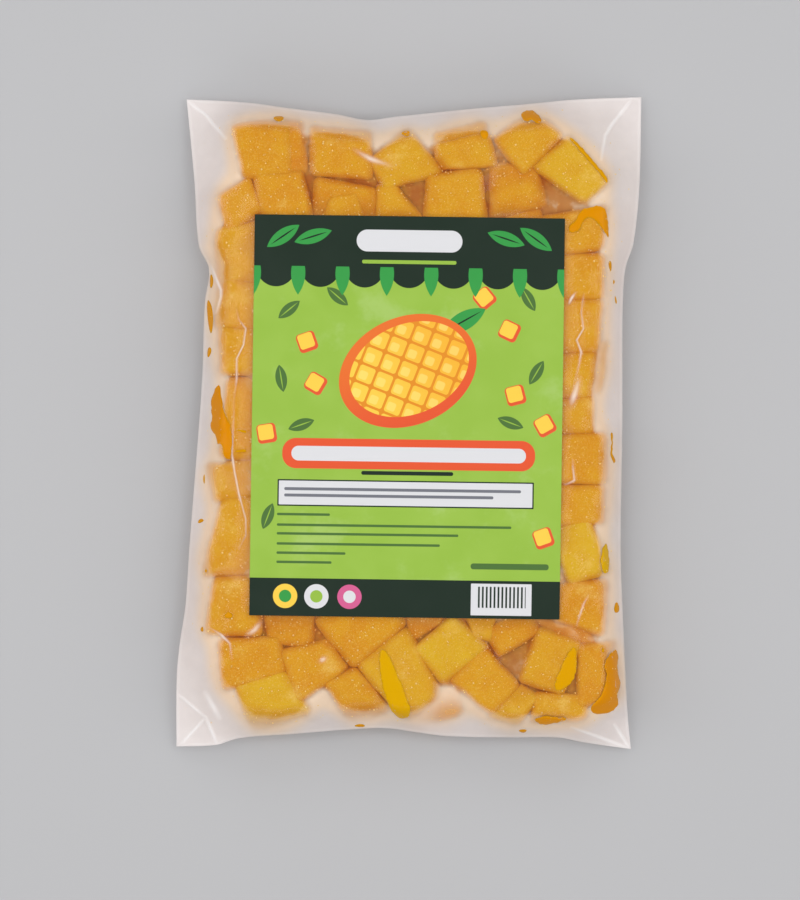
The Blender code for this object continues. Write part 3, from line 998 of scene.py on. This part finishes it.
def between_corners(corners, a, b):
    """Points inside a four-sided outline, for a and b from -1 to 1."""
    head_left, head_right, foot_right, foot_left = (np.array(corner, float) for corner in corners)
    s, t = ((a + 1) / 2)[:, None], ((b + 1) / 2)[:, None]
    return (foot_left * (1 - s) + foot_right * s) * (1 - t) + (head_left * (1 - s) + head_right * s) * t


def grown(corners):
    """Corners moved away from the middle of their outline, by about the growth on every side."""
    outline = np.array(corners, float)
    middle = outline.mean(axis=0)
    reach = np.hypot(*(outline - middle).T)[:, None]
    return middle + (outline - middle) * (1 + CHUNK_GROWTH * math.sqrt(2) / reach)


def held_inside(points, inset):
    """Points drawn in, in plan, to at least an inset from the rim."""
    u, v = place_in_outline(points[:, 0], points[:, 1])
    most_u, most_v = 1 - 2 * inset / POUCH_WIDTH, 1 - 2 * inset / POUCH_LENGTH
    xs, ys = outline_point(np.clip(u, -most_u, most_u), np.clip(v, -most_v, most_v))
    return np.column_stack([xs, ys, points[:, 2]])


def front_heights(xs, ys, skin):
    """Heights just under where the film goes: crowned, and round over the shoulders."""
    u, v = place_in_outline(xs, ys)
    crowned = CHUNK_TOP + CHUNK_CROWN * (1 - u**2) * (1 - v**2)
    return np.minimum(crowned, heights_on(skin, xs, ys, 0.0) + SHOULDER_PROUD)


def shape_chunk(unit, chunk, skin, seed):
    """Points of one chunk, and its grain: the same points laid along its own sides."""
    corners, depths, _, *slides = chunk
    corners = grown(corners)
    chance = random.Random(seed)
    a, b, c = knife_cuts(unit, chance).T
    depths = np.broadcast_to(np.array(depths, float), (4,))
    front = held_inside(between_corners(np.column_stack([corners, depths]), a, b) * MM, FRONT_INSET)
    front[:, 2] = front_heights(front[:, 0], front[:, 1], skin) - front[:, 2]
    middle = corners.mean(axis=0)
    shrink = chance.uniform(*BACK_SHRINK)
    drift = np.array([chance.uniform(-BACK_DRIFT, BACK_DRIFT) for _ in range(2)])
    for slide in slides:
        drift += slide
    base = np.full(4, CHUNK_BASE / MM + chance.uniform(0, BACK_UNEVENNESS))
    lower = np.column_stack([middle + (corners - middle) * shrink + drift, base])
    back = held_inside(between_corners(lower, a, b) * MM, BASE_INSET)
    share = ((c + 1) / 2)[:, None]
    placed = back * (1 - share) + front * share
    tilts = [chance.uniform(-GRAIN_TILT, GRAIN_TILT) for _ in range(2)]
    turn = Euler([*tilts, chance.uniform(0, GRAIN_TURN)]).to_matrix()
    grain = placed @ np.array(turn) + chance.uniform(-1, 1)
    return placed, grain


def hidden_chunks():
    """Chunks in plain rows, for the place that the label covers."""
    left, right, head, foot = HIDDEN_SPAN
    width, length = (right - left) / HIDDEN_COLUMNS, (head - foot) / HIDDEN_ROWS
    chance = random.Random(HIDDEN_ROWS_SEED)
    for row in range(HIDDEN_ROWS):
        for column in range(HIDDEN_COLUMNS):
            x0, x1 = left + column * width + HIDDEN_GAP, left + (column + 1) * width - HIDDEN_GAP
            y1, y0 = head - row * length - HIDDEN_GAP, head - (row + 1) * length + HIDDEN_GAP
            corners = [
                (x + chance.uniform(*HIDDEN_UNEVENNESS) * side,
                 y + chance.uniform(*HIDDEN_UNEVENNESS) * way)
                for x, y, side, way in ((x0, y1, -1, 1), (x1, y1, 1, 1), (x1, y0, 1, -1), (x0, y0, -1, -1))
            ]
            yield corners, HIDDEN_DEPTH, chance.choice(HIDDEN_RIPENESS)


def make_chunks(name, chunks, cuts, flesh, first_seed):
    """One piece that holds many chunks."""
    skin = tree_of(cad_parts["pouch"])
    blank, unit = chunk_blank(cuts)
    # How near each point lies to an edge of its chunk, for the painted light on the flesh's edges
    rim = np.sort(np.abs(unit), axis=1)[:, 1]
    parts = []
    for number, chunk in enumerate(chunks):
        placed, grain = shape_chunk(unit, chunk, skin, first_seed + number)
        one = blank.copy()
        set_points(one, placed)
        coarse, fine = (ripple(placed, length * MM, first_seed) for length in SWELL_WAVELENGTHS)
        swell = (SWELL_COARSE * coarse + SWELL_FINE * fine - SWELL_SHRINK) * MM
        set_points(one, placed + normals_of(one) * swell[:, None])
        ripeness = np.full(len(placed), chunk[2])
        parts.append((one, {"grain": grain, "ripeness": ripeness, "rim": rim}))
    bpy.data.meshes.remove(blank)
    return finished_piece(name, join_meshes(name, parts), (flesh,))


# --- Film ---------------------------------------------------------------------------------------

def drape(height, fixed, low, high, pull):
    """Lets a stretched sheet settle between what is under it and what is over it."""
    for _ in range(DRAPE_ROUNDS):
        settled = (height[1:-1, 2:] + height[1:-1, :-2] + height[2:, 1:-1] + height[:-2, 1:-1]) / 4 - pull
        settled = np.clip(settled, low[1:-1, 1:-1], high[1:-1, 1:-1])
        height[1:-1, 1:-1] = np.where(fixed[1:-1, 1:-1], height[1:-1, 1:-1], settled)
    return height


def creases_at(xs, ys):
    """Heights of the ridges along the creases, which fade out at both ends, and their shares."""
    heights, shares = np.zeros_like(xs), np.zeros_like(xs)
    for points, height, half_width in CREASES:
        line = np.array(points, float) * MM
        steps = np.hypot(*np.diff(line, axis=0).T)
        walked = np.concatenate([[0], np.cumsum(steps)])
        ridge = np.zeros_like(xs)
        for i, step in enumerate(steps):
            way = (line[i + 1] - line[i]) / step
            along = np.clip((xs - line[i][0]) * way[0] + (ys - line[i][1]) * way[1], 0, step)
            away = np.hypot(xs - line[i][0] - way[0] * along, ys - line[i][1] - way[1] * along)
            share = CREASE_LEFT_OUT + (1 - 2 * CREASE_LEFT_OUT) * (walked[i] + along) / walked[-1]
            fade = np.sin(math.pi * share)
            ridge = np.maximum(ridge, np.exp(-((away / (half_width * MM)) ** 2)) * fade)
        heights += height * MM * ridge
        shares = np.maximum(shares, ridge)
    return heights, shares


def widened(raster):
    """The highest value of each point of a raster and its neighbours."""
    wide = np.pad(raster, 1, mode="edge")
    return np.max([wide[1:-1, 2:], wide[1:-1, :-2], wide[2:, 1:-1], wide[:-2, 1:-1], raster], axis=0)


def spread(raster, rounds):
    """Evens out a raster with its neighbours."""
    for _ in range(rounds):
        wide = np.pad(raster, 1, mode="edge")
        raster = (wide[1:-1, 2:] + wide[1:-1, :-2] + wide[2:, 1:-1] + wide[:-2, 1:-1] + raster) / 5
    return raster


def film_rasters(chunk_trees, label_tree):
    """Rasters of the front film and the back film: each one's height, how far it stands off the
    fruit, from 0 to 1, and how open the space round there is, from 0 to 1."""
    us, vs = np.linspace(-1, 1, RASTER_COLUMNS + 1), np.linspace(-1, 1, RASTER_ROWS + 1)
    u, v = np.meshgrid(us, vs)
    xs, ys = outline_point(u, v)
    seal = seal_height(u, v)
    rim = (np.abs(u) == 1) | (np.abs(v) == 1)
    tops = np.max([heights_on(tree, xs, ys, LOWEST) for tree in chunk_trees], axis=0)
    bottoms = np.min([heights_on(tree, xs, ys, HIGHEST, from_below=True) for tree in chunk_trees], axis=0)
    label = heights_on(label_tree, xs, ys, LOWEST)
    under_label = label > LOWEST

    low = widened(tops) + FILM_CLEARANCE
    start = np.maximum(low, seal)
    start = np.where(under_label, label - LABEL_THICKNESS - LABEL_BACKING, start)
    start = np.where(rim, seal + RIM_THICKNESS / 2, start)
    front = drape(start, rim | under_label, low, np.full_like(start, HIGHEST), FRONT_PULL)

    high = np.maximum(-widened(-bottoms) - FILM_CLEARANCE, FILM_FLOOR)
    start = np.where(rim, seal - RIM_THICKNESS / 2, np.minimum(high, seal))
    back = drape(start, rim, np.full_like(start, FILM_FLOOR), high, 0)
    front = np.maximum(front, back + RIM_THICKNESS)

    front_gap = np.maximum(front - tops - FILM_CLEARANCE, 0)
    back_gap = np.maximum(bottoms - FILM_CLEARANCE - back, 0)
    edge = np.clip((1 - np.maximum(np.abs(u), np.abs(v))) / RIM_FADE, 0, 1)
    flat = np.stack([xs.ravel(), ys.ravel(), np.zeros(xs.size)], axis=1)
    waves = [height * ripple(flat, length * MM, seed) for height, length, seed in WRINKLES]
    wrinkles = sum(waves).reshape(xs.shape) * MM
    wrinkles *= 1 - np.exp(-front_gap / WRINKLE_REACH)
    front = np.where(under_label | rim, front, front + wrinkles * edge)
    inward = np.minimum((1 - np.abs(u)) * POUCH_WIDTH, (1 - np.abs(v)) * POUCH_LENGTH) / 2
    deep_inside = np.clip((inward - INSIDE_START) / INSIDE_REACH, 0, 1)
    sheets = []
    for height, gap in ((front, front_gap), (back, back_gap)):
        lift = 1 - np.exp(-np.maximum(gap - CLINGING, 0) / LIFT_SCALE)
        near, wide = (spread(lift, rounds) for rounds in OPENNESS_ROUNDS)
        openness = np.minimum(near, wide) * (1 - INSIDE_CLOSING * deep_inside)
        seams = np.maximum(lift, np.minimum(widened(lift), SEAM_LIFT))
        sheets.append((height, spread(seams, LIFT_SOFTENING), openness))
    return sheets


def front_film_height(front, u, v):
    """Height of the front film, with its creases."""
    edge = np.clip((1 - np.maximum(np.abs(u), np.abs(v))) / CREASE_RIM_FADE, 0, 1)
    return read_raster(front, u, v) + creases_at(*outline_point(u, v))[0] * edge


def make_film(front, back):
    """One closed skin: front and back film, sealed along the rim, finest where it shows."""
    bm = bmesh.new()
    bmesh.ops.create_grid(bm, x_segments=FILM_COLUMNS, y_segments=FILM_ROWS, size=1)
    extruded = bmesh.ops.extrude_face_region(bm, geom=bm.faces[:])["geom"]
    upper = {item for item in extruded if isinstance(item, bmesh.types.BMVert)}
    for vert in upper:
        vert.co.z = 1
    turn = Matrix.Rotation(-LABEL_TURN, 3, "Z")
    seen = []
    for face in extruded:
        if not isinstance(face, bmesh.types.BMFace):
            continue
        middle = face.calc_center_median()
        x, y = outline_point(middle.x, middle.y)
        local = turn @ (Vector((float(x), float(y), 0)) - LABEL_CENTRE)
        past_side = abs(local.x) > LABEL_WIDTH / 2 - FINE_UNDER_LABEL
        past_end = abs(local.y) > LABEL_LENGTH / 2 - FINE_UNDER_LABEL
        if past_side or past_end:
            seen.append(face)
    edges = {edge for face in seen for edge in face.edges}
    bmesh.ops.subdivide_edges(bm, edges=list(edges), cuts=1, use_grid_fill=True)
    bm.verts.ensure_lookup_table()
    places = np.array([vert.co for vert in bm.verts])
    creased = creases_at(*outline_point(places[:, 0], places[:, 1]))[1] * (places[:, 2] > 0.5)
    edges = {
        edge
        for vert, share in zip(bm.verts, creased)
        if share > CREASE_SHARE
        for face in vert.link_faces
        for edge in face.edges
    }
    bmesh.ops.subdivide_edges(bm, edges=list(edges), cuts=1, use_grid_fill=True)
    mesh = mesh_from(bm, "pouch_film")
    u, v, side = points_of(mesh).T
    xs, ys = outline_point(u, v)
    is_front = side > 0.5
    zs = np.where(is_front, front_film_height(front[0], u, v), read_raster(back[0], u, v))
    lift, openness = (
        np.where(is_front, read_raster(of_front, u, v), read_raster(of_back, u, v))
        for of_front, of_back in zip(front[1:], back[1:])
    )
    set_points(mesh, np.stack([xs, ys, zs], axis=1))
    inward = np.minimum((1 - np.abs(u)) * POUCH_WIDTH, (1 - np.abs(v)) * POUCH_LENGTH) / 2
    set_values(mesh, "lift", lift)
    set_values(mesh, "openness", openness)
    # Seal: where the film lies double. In the material, the seal and crease shares also whiten the film,
    # partly as a painted highlight.
    set_values(mesh, "seal", np.clip(1.2 - inward / SEAL_WIDTH, 0, 1))
    set_values(mesh, "crease", creases_at(xs, ys)[1] * is_front)
    return finished_piece("pouch_film", mesh, (milky_film(),), ("pouch",))


# --- Juice and frost ----------------------------------------------------------------------------

def closed_curve(points, count):
    """Evenly spread points on a smooth closed curve through the given ones."""
    ring = np.array(points, float)
    before, after, later = np.roll(ring, 1, 0), np.roll(ring, -1, 0), np.roll(ring, -2, 0)
    t = np.linspace(0, 1, CURVE_STEPS, endpoint=False)[None, :, None]
    p0, p1, p2, p3 = (part[:, None, :] for part in (before, ring, after, later))
    curve = 0.5 * (2 * p1 + (p2 - p0) * t + (2 * p0 - 5 * p1 + 4 * p2 - p3) * t**2
                   + (3 * p1 - p0 - 3 * p2 + p3) * t**3)
    curve = curve.reshape(-1, 2)
    walked = np.concatenate([[0], np.cumsum(np.hypot(*(np.roll(curve, -1, 0) - curve).T))])
    closed = np.vstack([curve, curve[:1]])
    wanted = np.linspace(0, walked[-1], count, endpoint=False)
    return np.stack([np.interp(wanted, walked, closed[:, axis]) for axis in range(2)], axis=1)


def pool(outline, front, ripeness):
    """A thin pool with a rounded rim that lies on the front film, and its vertices' values."""
    bm = bmesh.new()
    rim = [bm.verts.new((x, y, 0)) for x, y in outline]
    for first, second in zip(rim, rim[1:] + rim[:1]):
        bm.edges.new((first, second))
    bmesh.ops.triangle_fill(bm, edges=bm.edges[:], use_beauty=True)
    for _ in range(POOL_SPLITS):
        inner = [edge for edge in bm.edges if not edge.is_boundary]
        wide = [edge for edge in inner if edge.calc_length() > JUICE_CELL]
        if not wide:
            break
        bmesh.ops.subdivide_edges(bm, edges=wide, cuts=1)
        bmesh.ops.triangulate(bm, faces=bm.faces[:])
        inner = [edge for edge in bm.edges if not edge.is_boundary]
        bmesh.ops.beautify_fill(bm, faces=bm.faces[:], edges=inner)
    for item in bmesh.ops.extrude_face_region(bm, geom=bm.faces[:])["geom"]:
        if isinstance(item, bmesh.types.BMVert):
            item.co.z = 1
    mesh = mesh_from(bm, "pool")
    xs, ys, side = points_of(mesh).T
    away = np.min(np.hypot(xs[:, None] - outline[:, 0], ys[:, None] - outline[:, 1]), axis=1)
    depth = 1 - np.exp(-away / JUICE_ROUNDING)
    lift = np.where(side > 0.5, JUICE_RIM + (JUICE_DEPTH - JUICE_RIM) * depth, 0)
    heights = front_film_height(front, *place_in_outline(xs, ys)) + JUICE_CLEARANCE + lift
    set_points(mesh, np.stack([xs, ys, heights], axis=1))
    return mesh, {"depth": depth, "ripeness": np.full(len(xs), ripeness)}


def make_juice(front):
    """Smears with ragged rims, and round drops."""
    parts = []
    for points, ripeness in JUICE_SMEARS:
        outline = closed_curve(points, JUICE_RIM_POINTS) * MM
        flat = np.column_stack([outline, np.zeros(len(outline))])
        jitter = np.stack([ripple(flat, JUICE_RIM_WAVELENGTH, seed) for seed in JUICE_RIM_SEEDS], axis=1)
        parts.append(pool(outline + jitter * JUICE_RAGGEDNESS, front, ripeness))
    angles = np.linspace(0, 2 * math.pi, DROP_RIM_POINTS, endpoint=False)
    for x, y, half_width, half_length, turn in JUICE_DROPS:
        swell = 1 + DROP_SWELL * np.sin(DROP_LOBES * angles + x)
        local = np.stack([half_width * np.cos(angles), half_length * np.sin(angles)], axis=1)
        turned = local * swell[:, None] @ np.array(Matrix.Rotation(-math.radians(turn), 2))
        parts.append(pool((turned + (x, y)) * MM, front, DROP_RIPENESS))
    mesh = join_meshes("juice_smears", parts)
    return finished_piece("juice_smears", mesh, (juice(),))


def make_beads(front, label_tree):
    """Small beads under the front film, mostly where it lies close on the fruit."""
    blank = bmesh.new()
    bmesh.ops.create_icosphere(blank, subdivisions=1, radius=1)
    ball = mesh_from(blank, "bead_blank")
    unit = points_of(ball)
    smallest, largest = BEAD_RADII
    parts = []
    chance = random.Random(BEAD_SEED)
    while len(parts) < BEAD_COUNT:
        u, v = (np.array([chance.uniform(-BEAD_SPREAD, BEAD_SPREAD)]) for _ in range(2))
        x, y = (float(value[0]) for value in outline_point(u, v))
        height, lift, openness = (float(read_raster(raster, u, v)[0]) for raster in front)
        if label_tree.ray_cast((x, y, CLEAR_OF_ALL), DOWN)[0] is not None:
            continue
        crowding = 1 if lift > CLOSE_TO_FRUIT else BEADS_ON_FRUIT
        if chance.random() > BEADS_IN_OPEN + (1 - openness) * crowding:
            continue
        radius = smallest + (largest - smallest) * chance.random() ** BEAD_RARITY
        one = ball.copy()
        middle = (x, y, height - radius * BEAD_SINKING)
        set_points(one, unit * (radius, radius, radius * BEAD_FLATNESS) + middle)
        parts.append((one, {}))
    bpy.data.meshes.remove(ball)
    mesh = join_meshes("frost_beads", parts)
    return finished_piece("frost_beads", mesh, (frost(),))


# --- Studio -------------------------------------------------------------------------------------

def make_floor():
    """A flat floor that reaches past what the camera sees."""
    bm = bmesh.new()
    bmesh.ops.create_grid(bm, x_segments=2, y_segments=2, size=FLOOR_REACH)
    mesh = bpy.data.meshes.new("floor")
    bm.to_mesh(mesh)
    bm.free()
    mesh.materials.append(floor_paint())
    floor = bpy.data.objects.new("floor", mesh)
    bpy.context.scene.collection.objects.link(floor)


def add_softbox(name, place, size, power):
    """A large soft light that faces the middle of the pouch."""
    data = bpy.data.lights.new(name, "AREA")
    data.shape = "RECTANGLE"
    data.size, data.size_y = size
    data.energy = power
    light = bpy.data.objects.new(name, data)
    light.location = place
    light.rotation_euler = (-Vector(place)).to_track_quat("-Z", "Y").to_euler()
    bpy.context.scene.collection.objects.link(light)


def make_studio():
    """A pale floor, soft light from both sides and the ends, and a camera straight above."""
    make_floor()
    for name, place, size, power in SOFTBOXES:
        add_softbox(name, place, size, power)
    world = bpy.data.worlds.new("studio_air")
    world.use_nodes = True
    air = world.node_tree.nodes["Background"]
    air.inputs["Color"].default_value = (1, 1, 1, 1)
    air.inputs["Strength"].default_value = AIR_STRENGTH
    scene = bpy.context.scene
    scene.world = world
    scene.view_settings.view_transform = "Standard"
    data = bpy.data.cameras.new("camera")
    data.lens = CAMERA_LENS
    data.sensor_width = SENSOR
    camera = bpy.data.objects.new("camera", data)
    camera.location = CAMERA_PLACE
    scene.collection.objects.link(camera)
    scene.camera = camera


# --- Making it ----------------------------------------------------------------------------------

label = make_label()
flesh = mango_flesh()
round_label = make_chunks(
    "mango_chunks_round_label", CHUNKS_ROUND_LABEL, CHUNK_CUTS, flesh, SHOWN_CHUNK_SEED
)
under_label = make_chunks(
    "mango_chunks_under_label", hidden_chunks(), HIDDEN_CHUNK_CUTS, flesh, HIDDEN_CHUNK_SEED
)
chunk_trees = (tree_of(round_label), tree_of(under_label))
label_tree = tree_of(label)
front_film, back_film = film_rasters(chunk_trees, label_tree)
make_film(front_film, back_film)
make_juice(front_film[0])
make_beads(front_film, label_tree)
make_studio()
